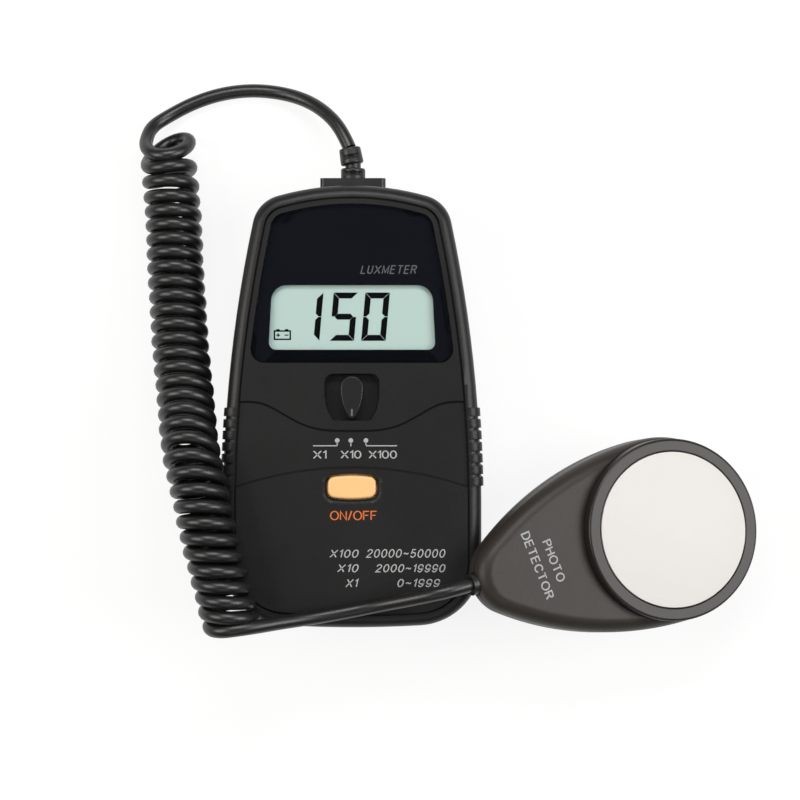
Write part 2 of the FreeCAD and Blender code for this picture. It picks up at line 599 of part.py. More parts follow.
# ---------------------------------------------------------------- the boot and the fixed end of the lead
BOOT_FLANGE_Y = HALF_LENGTH + 2.8
BOOT_INNER_Y = 54.2
BOOT_END_Y = 70.1
BOOT_LEAN = 10.0
BOOT_SLOT = 1.3
boot_flange = box((-8.8, HALF_LENGTH - 1, BOOT_Z - 4.6), (8.8, BOOT_FLANGE_Y, BOOT_Z + 4.6))
boot_flange = boot_flange.makeFillet(1.2, [e for e in boot_flange.Edges if e.BoundBox.YLength > 2])
boot_flange = boot_flange.cut(case_block(0, 0, CASE_HEIGHT))
inner_flange = box((-5, BOOT_INNER_Y, BOOT_Z - 4), (5, BOOT_INNER_Y + 2, BOOT_Z + 4))


def boot_bar(radius, low_y, high_y, end_radius=None):
    """A round part of the boot, straight or tapering towards its outer end."""
    taper_to = radius if end_radius is None else end_radius
    if taper_to == radius:
        return Part.makeCylinder(radius, high_y - low_y, Vector(0, low_y, BOOT_Z), Vector(0, 1, 0))
    return Part.makeCone(radius, taper_to, high_y - low_y, Vector(0, low_y, BOOT_Z), Vector(0, 1, 0))


neck = boot_bar(3.45, BOOT_INNER_Y + 1.8, BOOT_FLANGE_Y - 0.2)
lower_segment = boot_bar(3.3, BOOT_FLANGE_Y - 0.1, 64.4)
lower_segment = lower_segment.makeFillet(0.5, [e for e in lower_segment.Edges if e.BoundBox.YMin > 64])
core = boot_bar(2.1, 63.5, 66.5)
upper_segment = boot_bar(3.15, 65.5, BOOT_END_Y, 2.9)
upper_segment = upper_segment.makeFillet(0.6, upper_segment.Edges[:1] + upper_segment.Edges[2:3])
boot_bend = Vector(0, 64.5, BOOT_Z)
upper_segment.rotate(boot_bend, Vector(0, 0, 1), BOOT_LEAN)


def boot_slots(middle_y):
    """Slots in the boot's face and back that let it flex, with two ribs left across them."""
    slots = []
    for side in (1, -1):
        low_z = BOOT_Z + side * 1.9
        high_z = BOOT_Z + side * 4
        slots.append(box((-4, middle_y - BOOT_SLOT / 2, min(low_z, high_z)),
                         (4, middle_y + BOOT_SLOT / 2, max(low_z, high_z))))
    ribs = [box((x, middle_y - BOOT_SLOT, BOOT_Z - 2.5), (x + 0.7, middle_y + BOOT_SLOT, BOOT_Z + 2.5))
            for x in (-1.45, 0.75)]
    return join(slots).cut(group(ribs))


upper_slots = boot_slots(67.5)
upper_slots.rotate(boot_bend, Vector(0, 0, 1), BOOT_LEAN)
pieces["cable_boot"] = join([boot_flange, inner_flange, neck, lower_segment.cut(boot_slots(62.9)), core,
                             upper_segment.cut(upper_slots)])
wires = [tube([(x, BOOT_INNER_Y - 0.05, 13), (x, 48.5, 13.5), (x * 1.6, 42, 17), (x * 1.6, 39, BOARD_Z - 0.4)], 0.55)
         for x in (-2, 0.4, 2.8)]
pieces["signal_wires"] = group(wires)

boot_reach = BOOT_END_Y - boot_bend.y
boot_lean = math.radians(BOOT_LEAN)
boot_mouth = (-boot_reach * math.sin(boot_lean), boot_bend.y + boot_reach * math.cos(boot_lean), BOOT_Z)
ARCH_ROUTE = [boot_mouth, (-3.0, 74.8, 11.8), (-7.1, 79.9, 8.5), (-12.8, 84.0, 4.6),
              (-20.0, 86.4, 2.2), (-28.2, 87.2, 1.85), (-36.6, 86.2, 1.85), (-44.4, 83.6, 1.85),
              (-51.2, 80.2, 2.0), (-56.2, 75.6, 3.6)]
pieces["cord_arch"] = tube(ARCH_ROUTE, CORD_DIAMETER / 2, "cord_arch")

# The coil's centre line: it lies on the table beside the boot, climbs gently past the
# finger pads and rests on the unit's lower left rim.
COIL_ROUTE = [(-51.4, 76.2, 7.7), (-48.9, 52.0, 10.0), (-47.5, 28.0, 15.0), (-45.3, 8.0, 20.5),
              (-43.5, -5.4, 26.6), (-41.8, -14.4, 32.3), (-39.0, -25.0, 35.8), (-35.6, -40.0, 36.9),
              (-31.5, -57.2, 35.4)]
pieces["cord_coil"] = tube(COIL_ROUTE, COIL_RADIUS, "cord_coil")


# ---------------------------------------------------------------- the light detector
def head_outline(inset):
    """A big round end, a small round tip and two bowed sides that join them."""
    side_centre = Vector(0, HEAD_END_RADIUS - HEAD_SIDE_RADIUS, 0)
    tip_x = -math.sqrt((HEAD_SIDE_RADIUS - HEAD_TIP_RADIUS) ** 2 - side_centre.y ** 2)
    tip_centre = Vector(tip_x, 0, 0)
    end_top = Vector(0, HEAD_END_RADIUS - inset, 0)
    end_low = Vector(0, inset - HEAD_END_RADIUS, 0)
    tip_top = side_centre + (tip_centre - side_centre).normalize() * (HEAD_SIDE_RADIUS - inset)
    tip_low = Vector(tip_top.x, -tip_top.y, 0)
    tip_end = Vector(tip_x - HEAD_TIP_RADIUS + inset, 0, 0)
    return Part.Wire([Part.Arc(end_low, Vector(HEAD_END_RADIUS - inset, 0, 0), end_top).toShape(),
                      arc_about(side_centre, end_top, tip_top),
                      Part.Arc(tip_top, tip_end, tip_low).toShape(),
                      arc_about(Vector(0, -side_centre.y, 0), tip_low, end_low)])


def head_block(inset, low, high):
    return prism(head_outline(inset), low, high)


def across(radius, low_x, high_x):
    """A round bar along the head, at the height where the lead enters it."""
    return Part.makeCylinder(radius, high_x - low_x, Vector(low_x, 0, HEAD_CORD_HEIGHT), Vector(1, 0, 0))


def wedge(shape):
    """Tip a shape by the small angle between the head's back and its light-gathering face."""
    tipped = shape.copy()
    tipped.rotate(Vector(0, 0, RING_SEAT), Vector(0, 1, 0), -HEAD_WEDGE)
    return tipped


def above_face(height):
    """Everything above a plane parallel to the light-gathering face."""
    return wedge(box((-90, -60, height), (60, 60, 90)))


HEAD_SCREW_PLACES = [(-38.0, 0.0), (6.5, 19.7), (6.5, -19.7)]
TIP_X = -(math.sqrt((HEAD_SIDE_RADIUS - HEAD_TIP_RADIUS) ** 2 - (HEAD_SIDE_RADIUS - HEAD_END_RADIUS) ** 2)
          + HEAD_TIP_RADIUS)
DIODE_BOARD_Z = 5.8

head_rear = head_block(0, 0, HEAD_PARTING)
head_rear = head_rear.makeFillet(HEAD_EDGE_RADIUS, edges_at_height(head_rear, 0))
head_rear = head_rear.cut(head_block(HEAD_WALL, HEAD_WALL, 20))
for x, y in HEAD_SCREW_PLACES:
    head_rear = head_rear.fuse(post(x, y, 1.5, HEAD_PARTING, 2.8).common(head_block(1.0, 0, 20)))
for i in range(3):
    angle = math.radians(60 + 120 * i)
    board_post = post(13.5 * math.cos(angle), 13.5 * math.sin(angle), 1.5, 12, 1.8)
    head_rear = head_rear.fuse(board_post.cut(above_face(DIODE_BOARD_Z)))
for x, y in HEAD_SCREW_PLACES:
    head_rear = head_rear.cut(post(x, y, -1, 3.6, 2.2)).cut(post(x, y, 0, 10, 1.25))
head_rear = head_rear.cut(head_block(-1, HEAD_PARTING - 0.35, 10).cut(head_block(0.4, 0, 20)))
head_rear = head_rear.cut(across(3.0, -60, -48))

head_front = head_block(0, HEAD_PARTING, 40).cut(above_face(HEAD_HEIGHT))
top_face = max(head_front.Faces, key=lambda face: face.CenterOfMass.z)
head_front = head_front.makeFillet(HEAD_TOP_RADIUS, top_face.Edges)
head_front = head_front.cut(head_block(HEAD_WALL, 0, 40).cut(above_face(HEAD_HEIGHT - HEAD_WALL)))
ledge = wedge(post(0, 0, RING_SEAT - 1.8, RING_SEAT, 25.6).cut(post(0, 0, 0, 40, 22.95)))
head_front = head_front.fuse(ledge.common(head_block(1.0, 0, 40)))
for x, y in HEAD_SCREW_PLACES:
    roof = above_face(HEAD_HEIGHT - 1 if x < -20 else RING_SEAT - 2.4)
    screw_post = post(x, y, HEAD_PARTING, 30, 2.6).common(head_block(1.0, 0, 40))
    head_front = head_front.fuse(screw_post.cut(roof))
for x, y in HEAD_SCREW_PLACES:
    head_front = head_front.cut(post(x, y, 5, 9.4, 1.0))
head_front = head_front.cut(wedge(post(0, 0, RING_SEAT, 40, RING_OUTER_RADIUS + 0.1)))
head_front = head_front.cut(across(3.0, -60, -48))

ring_wall = post(0, 0, RING_SEAT, RING_TOP, RING_OUTER_RADIUS)
ring_wall = ring_wall.makeFillet(0.7, edges_at_height(ring_wall, RING_TOP))
spigot = post(0, 0, RING_SEAT - 2.2, RING_SEAT, 22.85)
diffuser_ring = ring_wall.fuse(spigot).cut(post(0, 0, 0, 40, RING_INNER_RADIUS)).removeSplitter()
diffuser_ring = diffuser_ring.makeChamfer(0.35, [e for e in edges_at_height(diffuser_ring, RING_TOP)
                                                 if e.BoundBox.XMax < RING_INNER_RADIUS + 0.1])

DOME_RISE = 0.9
dome_radius = (DIFFUSER_RADIUS ** 2 + DOME_RISE ** 2) / (2 * DOME_RISE)
dome = Part.makeSphere(dome_radius, Vector(0, 0, DIFFUSER_TOP - dome_radius))
diffuser = post(0, 0, 14.0, DIFFUSER_TOP + 1, DIFFUSER_RADIUS).common(dome)
diffuser = diffuser.cut(post(0, 0, 13, 18.0, DIFFUSER_RADIUS - 1.6))

diode_board = post(0, 0, DIODE_BOARD_Z, 7.2, 16.6)
photodiode_can = join([post(0, 0, 7.2, 7.7, 4.6), post(0, 0, 7.2, 9.3, 4.0)])
holder = post(0, 0, 7.2, 12.4, 10.4).cut(post(0, 0, 7, 10.8, 7.6)).cut(post(0, 0, 10.8, 14, 9.2))
correction_filter = post(0, 0, 10.8, 12.4, 9.15)
head_boot = join([across(2.9, TIP_X - 1.1, TIP_X + 3.2), across(3.05, TIP_X + 3.0, TIP_X + 4.4)])
wire_start_x = TIP_X + 4.45
head_wires = [tube([(wire_start_x, y, HEAD_CORD_HEIGHT), (-38, y * 4.6, 6.8), (-24, y * 4.4, 7.0),
                    (-15.2, y * 2, 7.9), (-14.2, y * 2, 5.8)], 0.5) for y in (-0.9, 0.9)]
head_pieces = {
    "head_rear": head_rear.removeSplitter(),
    "head_front": head_front.removeSplitter(),
    "diffuser_ring": wedge(diffuser_ring),
    "diffuser": wedge(diffuser),
    "photodiode_board": wedge(diode_board),
    "photodiode": wedge(photodiode_can),
    "filter_holder": wedge(holder),
    "correction_filter": wedge(correction_filter),
    "head_screws": group([cross_head_screw(x, y, 3.6, 1.9, 1.5, 0.95, 9.0) for x, y in HEAD_SCREW_PLACES]),
    "head_boot": head_boot,
    "head_wires": group(head_wires),
}

# The head lies tilted: its long axis falls away from the unit and its heading turns
# slightly up the unit's side.
tilt = Rotation(Vector(0, 1, 0), HEAD_TILT)
heading = Rotation(Vector(0, 0, 1), HEAD_HEADING)
head_place = Placement(Vector(*HEAD_ORIGIN), heading.multiply(tilt))
for name, shape in head_pieces.items():
    shape.transformShape(head_place.toMatrix())
    pieces[name] = shape

# The lead leaves the head's tip, sags onto the unit's face and climbs to the coil's end.
tip = head_place.multVec(Vector(TIP_X - 1.1, 0, HEAD_CORD_HEIGHT))
away = head_place.Rotation.multVec(Vector(-1, 0, 0))
off_tip = tip + away * 5.6
TAIL_ROUTE = [(-23.5, -57.4, 37.6), (-14.6, -56.0, 34.2), (-4.0, -54.2, 31.5), (7.2, -52.0, 32.2),
              (14.6, -50.5, 35.2), (20.6, -49.1, 37.8), tuple(off_tip), tuple(tip)]
print("tail ends", [round(c, 2) for c in off_tip], [round(c, 2) for c in tip])
pieces["cord_tail"] = tube(TAIL_ROUTE, CORD_DIAMETER / 2, "cord_tail")

# ---------------------------------------------------------------- write every piece
os.makedirs("parts", exist_ok=True)
for name, shape in pieces.items():
    if not shape.isValid():
        print("not valid:", name)
    print("%-20s solids %2d volume %9.1f" % (name, len(shape.Solids), shape.Volume))
    shape.exportStep("parts/%s.step" % name)
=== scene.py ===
import bmesh
import bpy
import math
from mathutils import Matrix, Vector


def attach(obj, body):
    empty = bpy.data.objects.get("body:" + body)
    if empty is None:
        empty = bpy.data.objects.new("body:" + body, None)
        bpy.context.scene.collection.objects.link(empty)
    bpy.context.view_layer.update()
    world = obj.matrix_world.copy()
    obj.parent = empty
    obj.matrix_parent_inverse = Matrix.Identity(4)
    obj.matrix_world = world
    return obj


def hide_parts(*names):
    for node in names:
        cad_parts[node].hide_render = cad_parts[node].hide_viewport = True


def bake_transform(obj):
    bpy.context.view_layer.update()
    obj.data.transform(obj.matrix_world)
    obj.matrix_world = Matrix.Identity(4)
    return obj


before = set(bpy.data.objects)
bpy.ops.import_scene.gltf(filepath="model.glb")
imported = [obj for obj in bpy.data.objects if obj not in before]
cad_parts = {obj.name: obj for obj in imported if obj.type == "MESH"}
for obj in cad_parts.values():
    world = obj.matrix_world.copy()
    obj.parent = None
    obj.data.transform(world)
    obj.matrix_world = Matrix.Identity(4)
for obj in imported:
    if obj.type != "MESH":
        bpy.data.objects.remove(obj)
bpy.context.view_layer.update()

scene = bpy.context.scene


# ------------------------------------------------------------------ the studio
# The meter lies on its back on a white table and is looked at from straight above.
# A dim sky fills the shadows and four soft boxes hang round the camera.
CAMERA_PLACE = (0.0127, 0.0017, 0.629)
LENS_MM = 102.3
SENSOR_MM = 36.0
SKY_STRENGTH = 0.10
LAMP_AIM = Vector((0.02, 0.0, 0.01))

camera = bpy.data.objects.new("camera", bpy.data.cameras.new("camera"))
camera.location = CAMERA_PLACE
camera.data.lens = LENS_MM
camera.data.sensor_width = SENSOR_MM
camera.data.clip_start = 0.01
scene.collection.objects.link(camera)
scene.camera = camera
scene.view_settings.view_transform = "Standard"

sky = bpy.data.worlds.new("sky")
sky.use_nodes = True
sky.node_tree.nodes["Background"].inputs["Color"].default_value = (1.0, 1.0, 1.0, 1)
sky.node_tree.nodes["Background"].inputs["Strength"].default_value = SKY_STRENGTH
scene.world = sky


def soft_box(name, place, width, depth, watts, tint):
    """A rectangular lamp that faces the middle of the meter."""
    lamp = bpy.data.lights.new(name, "AREA")
    lamp.shape = "RECTANGLE"
    lamp.size = width
    lamp.size_y = depth
    lamp.energy = watts
    lamp.color = tint
    stand = bpy.data.objects.new(name, lamp)
    stand.location = place
    aim = LAMP_AIM - Vector(place)
    stand.rotation_euler = aim.to_track_quat("-Z", "Y").to_euler()
    scene.collection.objects.link(stand)


WARM_WHITE = (1.0, 0.955, 0.91)
CLEAN_WHITE = (1.0, 0.99, 0.98)
soft_box("left_soft_box", (-0.58, 0.04, 0.58), 0.40, 0.50, 3.6, WARM_WHITE)
soft_box("right_soft_box", (0.60, 0.04, 0.58), 0.40, 0.50, 4.2, CLEAN_WHITE)
soft_box("far_soft_box", (0.02, 0.50, 0.66), 0.50, 0.22, 3.6, CLEAN_WHITE)
soft_box("near_soft_box", (0.02, -0.52, 0.66), 0.50, 0.22, 0.5, WARM_WHITE)


class Signal:
    """One value on its way through a material: an output socket with arithmetic."""

    def __init__(self, tree, socket):
        self.tree = tree
        self.socket = socket

    def node(self, kind, settings=None, inputs=None, output=0):
        """Adds a node: its settings first, then the values or signals of its sockets."""
        made = self.tree.nodes.new(kind)
        for key, value in (settings or {}).items():
            setattr(made, key, value)
        for key, value in (inputs or {}).items():
            if isinstance(value, Signal):
                self.tree.links.new(value.socket, made.inputs[key])
            else:
                made.inputs[key].default_value = value
        return Signal(self.tree, made.outputs[output])

    def arithmetic(self, operation, first, second):
        """The result of one sum on two values or signals."""
        return self.node("ShaderNodeMath", {"operation": operation}, {0: first, 1: second})

    def __add__(self, other):
        return self.arithmetic("ADD", self, other)

    def __mul__(self, other):
        return self.arithmetic("MULTIPLY", self, other)

    def noise(self, per_metre, detail=2.0, roughness=0.5):
        """Cloudy variation, read from a place signal."""
        return self.node("ShaderNodeTexNoise", None,
                         {"Vector": self, "Scale": per_metre, "Detail": detail, "Roughness": roughness})

    def blend(self, dark, light):
        """A colour between two, where this value is the share of the second."""
        return self.node("ShaderNodeMix", {"data_type": "RGBA", "clamp_factor": True},
                         {0: self, 6: (*dark, 1), 7: (*light, 1)}, output=2)

    def bump(self, height_metres, strength=1.0):
        """A surface normal that is raised where this value is high."""
        return self.node("ShaderNodeBump", None,
                         {"Height": self, "Distance": height_metres, "Strength": strength})


def new_finish(name, uniform=None):
    """A material, its shader node and the place signal that its patterns read."""
    material = bpy.data.materials.new(name)
    material.use_nodes = True
    tree = material.node_tree
    shader = tree.nodes["Principled BSDF"]
    for key, value in (uniform or {}).items():
        shader.inputs[key].default_value = value
    coordinates = tree.nodes.new("ShaderNodeTexCoord")
    return material, shader, Signal(tree, coordinates.outputs["Object"])


def feed(shader, key, signal):
    """Lets a signal drive one socket of a material's shader."""
    signal.tree.links.new(signal.socket, shader.inputs[key])


def finish_nodes(material, *names):
    """Gives CAD nodes their finish."""
    for name in names:
        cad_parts[name].material_slots[0].material = material


table_finish, table_shader, table_place = new_finish(
    "white_table", {"Roughness": 0.9, "Specular IOR Level": 0.1, "Emission Color": (1, 1, 1, 1),
                    "Emission Strength": 0.86})
feed(table_shader, "Base Color", table_place.noise(30).blend((0.13, 0.13, 0.13), (0.14, 0.14, 0.14)))
TABLE_HALF = 1.6
TABLE_TOP_Z = -0.0002
table_corners = [(x * TABLE_HALF, y * TABLE_HALF, TABLE_TOP_Z)
                 for x, y in ((-1, -1), (1, -1), (1, 1), (-1, 1))]
table_mesh = bpy.data.meshes.new("table")
table_mesh.from_pydata(table_corners, [], [(0, 1, 2, 3)])
table = bpy.data.objects.new("table", table_mesh)
table_mesh.materials.append(table_finish)
scene.collection.objects.link(table)


# ------------------------------------------------------------------ the curly lead
# A glossy black lead: a plain arch from the boot, then 32 tight left-handed turns that
# lie beside the unit and climb onto its lower left rim, then a plain tail to the head.
# The turns are more points of the lead's own line, wound round the coil's middle line.
LEAD_DIAMETER = 0.0037
TURN_RADIUS = 0.0060
POINTS_PER_TURN = 16
FIRST_TURN_Y = 0.0736
TURN_STEP = 0.00395
LOOSE_STEPS = (0.0064, 0.0056, 0.0043)
TURN_COUNT = 32
FIRST_TILT = math.radians(38)
FIRST_ROLL = 0.15
TILT_FADE_TURNS = 1.15
TILT_FADE_POWER = 6
TOP_LEAN_SHARE = 1.3
LOW_LEAN_SHARE = 0.1
UNEVEN_TURNS = ((0.012, 7.3), (0.010, 3.1))
MIDDLE_LINE_STEPS = 12
LEAD_LINE_STEPS = 5
RING_SPACING = 0.00112
TUBE_SIDES = 14

arch_points = [(-0.0010, 0.0700, 0.0130), (-0.0030, 0.0748, 0.0118), (-0.0071, 0.0799, 0.0085),
               (-0.0128, 0.0840, 0.0046), (-0.0200, 0.0864, 0.0022), (-0.0282, 0.0872, 0.00185),
               (-0.0366, 0.0862, 0.00185), (-0.0444, 0.0836, 0.00185), (-0.0510, 0.0800, 0.0023),
               (-0.0557, 0.0766, 0.0046)]
coil_middle = [(-0.0512, 0.0770, 0.0083), (-0.0489, 0.0520, 0.0100), (-0.0475, 0.0280, 0.0150),
               (-0.0453, 0.0080, 0.0205), (-0.0435, -0.0054, 0.0266), (-0.0418, -0.0144, 0.0323),
               (-0.0390, -0.0250, 0.0358), (-0.0356, -0.0400, 0.0369), (-0.0308, -0.0590, 0.0354)]
tail_points = [(-0.0362, -0.0582, 0.0382), (-0.0335, -0.0583, 0.0404), (-0.0292, -0.0577, 0.0408),
               (-0.0242, -0.0571, 0.0392), (-0.0182, -0.0563, 0.0362), (-0.0107, -0.0555, 0.0332),
               (-0.0003, -0.0538, 0.0316), (0.0072, -0.0522, 0.0322), (0.0146, -0.0506, 0.0352),
               (0.0206, -0.0491, 0.0378), (0.02604, -0.04784, 0.0381), (0.03102, -0.04657, 0.03587)]


def smooth_line(name, points, pieces_per_point):
    """The NURBS line of a list of control points, as the list of points along it."""
    line = bpy.data.curves.new(name, "CURVE")
    line.dimensions = "3D"
    spline = line.splines.new("NURBS")
    spline.points.add(len(points) - 1)
    for control, place in zip(spline.points, points):
        control.co = (*place, 1.0)
    spline.order_u = 3
    spline.use_endpoint_u = True
    spline.resolution_u = pieces_per_point
    holder = bpy.data.objects.new(name, line)
    scene.collection.objects.link(holder)
    flat = bpy.data.meshes.new_from_object(holder.evaluated_get(bpy.context.evaluated_depsgraph_get()))
    along = [vertex.co.copy() for vertex in flat.vertices]
    bpy.data.objects.remove(holder)
    return along


middle_line = smooth_line("coil_middle_line", coil_middle, MIDDLE_LINE_STEPS)


def coil_place(y):
    """The coil's middle and its direction where it passes a given Y."""
    for before, after in zip(middle_line, middle_line[1:]):
        if after.y <= y:
            break
    share = (y - before.y) / (after.y - before.y)
    return before.lerp(after, share), (after - before).normalized()


def turns_start_y(number):
    """The Y at which a given turn of the coil begins; the first few are looser."""
    loose = LOOSE_STEPS[:number]
    return FIRST_TURN_Y - sum(loose) - TURN_STEP * (number - len(loose))


turn_points = []
for step in range(TURN_COUNT * POINTS_PER_TURN + 1):
    turns = step / POINTS_PER_TURN
    whole = int(turns)
    share_of_turn = turns - whole
    y = turns_start_y(whole) * (1 - share_of_turn) + turns_start_y(whole + 1) * share_of_turn
    middle, direction = coil_place(y)
    left = direction.cross(Vector((0, 0, 1))).normalized()
    above = left.cross(direction)
    lean_share = TOP_LEAN_SHARE + (LOW_LEAN_SHARE - TOP_LEAN_SHARE) * turns / TURN_COUNT
    left = Vector((left.x, left.y * lean_share, 0)).normalized()
    angle = math.pi - 2 * math.pi * turns
    tilt = FIRST_TILT / (1 + (turns / TILT_FADE_TURNS) ** TILT_FADE_POWER)
    radius = TURN_RADIUS * (1 + sum(share * math.sin(turns * rate) for share, rate in UNEVEN_TURNS))
    point = middle - left * (radius * math.cos(angle)) + above * (radius * math.sin(angle))
    point += direction * (radius * math.tan(tilt) * math.sin(angle))
    point -= direction * (radius * FIRST_ROLL * tilt / FIRST_TILT * math.cos(angle))
    turn_points.append(tuple(point))

lead_line = smooth_line("lead_line", arch_points + turn_points + tail_points, LEAD_LINE_STEPS)


def tube_builder():
    """A Geometry Nodes tree that turns a line of points into a round tube with closed ends."""
    tree = bpy.data.node_groups.new("lead_tube", "GeometryNodeTree")
    face = tree.interface
    face.new_socket(name="Line", in_out="INPUT", socket_type="NodeSocketGeometry")
    for name in ("Diameter", "Ring spacing"):
        face.new_socket(name=name, in_out="INPUT", socket_type="NodeSocketFloat")
    face.new_socket(name="Sides", in_out="INPUT", socket_type="NodeSocketInt")
    face.new_socket(name="Finish", in_out="INPUT", socket_type="NodeSocketMaterial")
    face.new_socket(name="Tube", in_out="OUTPUT", socket_type="NodeSocketGeometry")
    nodes = tree.nodes
    links = tree.links
    given = nodes.new("NodeGroupInput")
    result = nodes.new("NodeGroupOutput")
    to_curve = nodes.new("GeometryNodeMeshToCurve")
    resample = nodes.new("GeometryNodeResampleCurve")
    resample.mode = "LENGTH"
    ring = nodes.new("GeometryNodeCurvePrimitiveCircle")
    half = nodes.new("ShaderNodeMath")
    half.operation = "MULTIPLY"
    half.inputs[1].default_value = 1 / 2
    sweep = nodes.new("GeometryNodeCurveToMesh")
    sweep.inputs["Fill Caps"].default_value = True
    smooth = nodes.new("GeometryNodeSetShadeSmooth")
    realize = nodes.new("GeometryNodeRealizeInstances")
    paint = nodes.new("GeometryNodeSetMaterial")
    links.new(given.outputs["Line"], to_curve.inputs["Mesh"])
    links.new(to_curve.outputs["Curve"], resample.inputs["Curve"])
    links.new(given.outputs["Ring spacing"], resample.inputs["Length"])
    links.new(given.outputs["Diameter"], half.inputs[0])
    links.new(half.outputs[0], ring.inputs["Radius"])
    links.new(given.outputs["Sides"], ring.inputs["Resolution"])
    links.new(resample.outputs["Curve"], sweep.inputs["Curve"])
    links.new(ring.outputs["Curve"], sweep.inputs["Profile Curve"])
    links.new(sweep.outputs["Mesh"], smooth.inputs["Geometry"])
    links.new(smooth.outputs["Geometry"], realize.inputs["Geometry"])
    links.new(realize.outputs["Geometry"], paint.inputs["Geometry"])
    links.new(given.outputs["Finish"], paint.inputs["Material"])
    links.new(paint.outputs["Geometry"], result.inputs["Tube"])
    return tree


def built_by(tree, name, mesh, settings):
    """A plain mesh object that a Geometry Nodes tree makes from a starting mesh."""
    start = bpy.data.objects.new(name, mesh)
    scene.collection.objects.link(start)
    modifier = start.modifiers.new("build", "NODES")
    modifier.node_group = tree
    for socket in tree.interface.items_tree:
        if socket.in_out == "INPUT" and socket.name in settings:
            modifier[socket.identifier] = settings[socket.name]
    finished = bpy.data.meshes.new_from_object(start.evaluated_get(bpy.context.evaluated_depsgraph_get()))
    bpy.data.objects.remove(start)
    finished.name = name
    piece = bpy.data.objects.new(name, finished)
    scene.collection.objects.link(piece)
    return piece


lead_finish, lead_shader, lead_place = new_finish("glossy_black_lead", {"Specular IOR Level": 0.62})
scuff = lead_place.noise(420, detail=4.0)
feed(lead_shader, "Base Color", scuff.blend((0.0025, 0.0025, 0.0028), (0.0055, 0.0053, 0.0053)))
feed(lead_shader, "Roughness", scuff * 0.06 + 0.34)
feed(lead_shader, "Normal", lead_place.noise(900, detail=3.0).bump(0.00001, 0.4))

line_mesh = bpy.data.meshes.new("lead_start")
line_mesh.from_pydata(lead_line, [(i, i + 1) for i in range(len(lead_line) - 1)], [])
lead = built_by(tube_builder(), "curly_lead", line_mesh,
                {"Diameter": LEAD_DIAMETER, "Ring spacing": RING_SPACING, "Sides": TUBE_SIDES,
                 "Finish": lead_finish})
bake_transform(lead)
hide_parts("cord_arch", "cord_coil", "cord_tail")


# ------------------------------------------------------------------ the moulded case
# Both shells, the knob's pocket and the detector's shells are one black plastic, moulded with a fine spark
# texture that scatters the soft boxes into a satin grey. On the detector's shells its colour is made lighter
# and warmer, which is a painted warm sheen.
MERGE_DISTANCE = 0.000002
FLAT_DEGREES = 0.4
SHARP_DEGREES = 32
CASE_EDGE = 0.00012
COVER_EDGE = 0.00010


def moulded_black(name, dark, light, roughness, grain_height, shine=0.28):
    """Black moulded plastic: slow clouds of tone under a fine spark grain."""
    material, shader, place = new_finish(name, {"Specular IOR Level": shine})
    cloud = place.noise(55, detail=3.0)
    grain = place.noise(3600, detail=2.0, roughness=0.6)
    feed(shader, "Base Color", (cloud * 0.6 + grain * 0.4).blend(dark, light))
    feed(shader, "Roughness", cloud * 0.06 + grain * 0.05 + (roughness - 0.05))
    feed(shader, "Normal", grain.bump(grain_height, 1.0))
    return material


def refined_copy(node, body, material, edge_radius=0.0):
    """A copy of a CAD node with merged corners, softened edges and clean shading."""
    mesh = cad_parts[node].data.copy()
    work = bmesh.new()
    work.from_mesh(mesh)
    bmesh.ops.remove_doubles(work, verts=work.verts, dist=MERGE_DISTANCE)
    bmesh.ops.dissolve_limit(work, angle_limit=math.radians(FLAT_DEGREES), verts=work.verts, edges=work.edges)
    for face in work.faces:
        face.smooth = True
    if not edge_radius:
        for edge in work.edges:
            edge.smooth = len(edge.link_faces) == 2 and edge.calc_face_angle() < math.radians(SHARP_DEGREES)
    work.to_mesh(mesh)
    work.free()
    mesh.materials.clear()
    mesh.materials.append(material)
    piece = bpy.data.objects.new(node + "_finished", mesh)
    scene.collection.objects.link(piece)
    if edge_radius:
        bevel = piece.modifiers.new("soft_edges", "BEVEL")
        bevel.width = edge_radius
        bevel.segments = 2
        bevel.limit_method = "ANGLE"
        bevel.angle_limit = math.radians(SHARP_DEGREES)
    weights = piece.modifiers.new("flat_faces", "WEIGHTED_NORMAL")
    weights.keep_sharp = True
    made = bpy.data.meshes.new_from_object(piece.evaluated_get(bpy.context.evaluated_depsgraph_get()))
    piece.modifiers.clear()
    piece.data = made
    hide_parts(node)
    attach(piece, body)


case_finish = moulded_black(
    "satin_black_case", (0.0085, 0.0084, 0.0086), (0.0150, 0.0148, 0.0150), 0.36, 0.00004)
refined_copy("front_case", "meter", case_finish, CASE_EDGE)
refined_copy("rear_case", "meter", case_finish, CASE_EDGE)
cover_finish = moulded_black(
    "battery_cover_black", (0.0080, 0.0080, 0.0085), (0.0140, 0.0140, 0.0145), 0.44, 0.00005)
refined_copy("battery_cover", "battery_cover", cover_finish, COVER_EDGE)
knob_finish = moulded_black(
    "knob_black", (0.0100, 0.0100, 0.0105), (0.0160, 0.0160, 0.0165), 0.36, 0.00002)
refined_copy("range_knob", "range_knob", knob_finish)
# The detector's shells: the black plastic with a lighter, warmer colour, a painted warm sheen on the head.
head_painted_sheen_finish = moulded_black(
    "head_black_painted_sheen", (0.0215, 0.0175, 0.0145), (0.0290, 0.0240, 0.0200), 0.42, 0.00004, shine=0.30)
refined_copy("head_rear", "detector_head", head_painted_sheen_finish, CASE_EDGE)
refined_copy("head_front", "detector_head", head_painted_sheen_finish, CASE_EDGE)


# ------------------------------------------------------------------ the display
# A blue-black printed mask under a clear acrylic window, and the pale green glass of the
# display in its opening, with dark seven-part digits and a battery sign in the glass.
mask_finish, mask_shader, mask_place = new_finish(
    "blue_black_mask", {"Roughness": 0.5, "Specular IOR Level": 0.04})
feed(mask_shader, "Base Color",
     mask_place.noise(40).blend((0.0024, 0.0032, 0.0060), (0.0040, 0.0050, 0.0085)))
finish_nodes(mask_finish, "window_mask")

